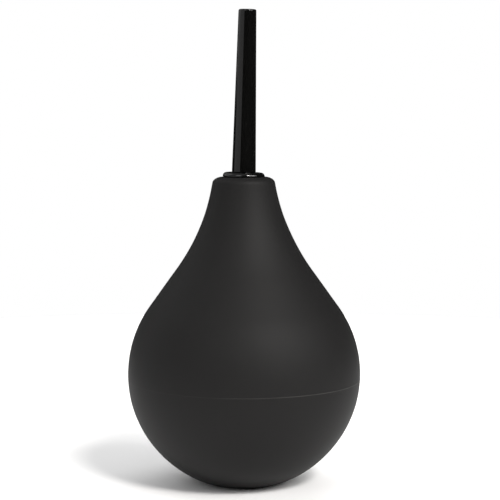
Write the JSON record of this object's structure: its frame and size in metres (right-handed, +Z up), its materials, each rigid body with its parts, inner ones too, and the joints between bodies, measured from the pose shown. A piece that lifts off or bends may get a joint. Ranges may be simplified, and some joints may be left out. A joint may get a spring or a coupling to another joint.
{
  "type": "dust blower bulb",
  "caption": "Soft pear-shaped squeeze bulb standing on a flat base, with a low collar and a slim tapered hard nozzle that screws out of its neck.",
  "frame": {"origin": "centre of the flat base, on the surface that the bulb stands on", "axes": "+Z up along the bulb's axis to the nozzle; +Y towards the back; the nozzle leans 1.3 degrees towards +X"},
  "size_m": [0.0764, 0.0764, 0.1552],
  "materials": {
    "soft_rubber": "matte soft-touch moulded",
    "hard_plastic": "glossy moulded",
    "seal_rubber": "satin",
    "valve_plastic": "satin moulded",
    "valve_silicone": "satin",
    "screen_steel": "satin punched sheet"
  },
  "bodies": {
    "base": {"bulb": "soft_rubber", "valve_body": "valve_plastic", "valve_cage": "valve_plastic", "intake_screen": "screen_steel"},
    "valve_flap": {"valve_disc": "valve_silicone"},
    "neck": {"neck_bush": "hard_plastic"},
    "seal_ring": {"nozzle_seal": "seal_rubber"},
    "nozzle_tube": {"nozzle": "hard_plastic"}
  },
  "joints": [
    {"name": "squeeze", "type": "slide", "parent": "base", "child": "neck", "axis": [0, 0, -1], "range_m": [0, 0.022], "stiffness_N_per_m": 700, "deforming": ["bulb"]},
    {"name": "nozzle_rise", "type": "slide", "parent": "neck", "child": "seal_ring", "axis": [0.0227, 0, 0.9997], "range_m": [0, 0.006]},
    {"name": "nozzle_unscrew", "type": "hinge", "parent": "seal_ring", "child": "nozzle_tube", "pos_m": [0, 0, 0.1009], "axis": [0.0227, 0, 0.9997], "range_deg": [0, 1440]},
    {"name": "valve_lift", "type": "slide", "parent": "base", "child": "valve_flap", "axis": [0, 0, 1], "range_m": [0, 0.0014]}
  ],
  "couplings": [
    {"joint": "nozzle_unscrew", "follows": "nozzle_rise", "rad_per_m": 4188.8}
  ]
}
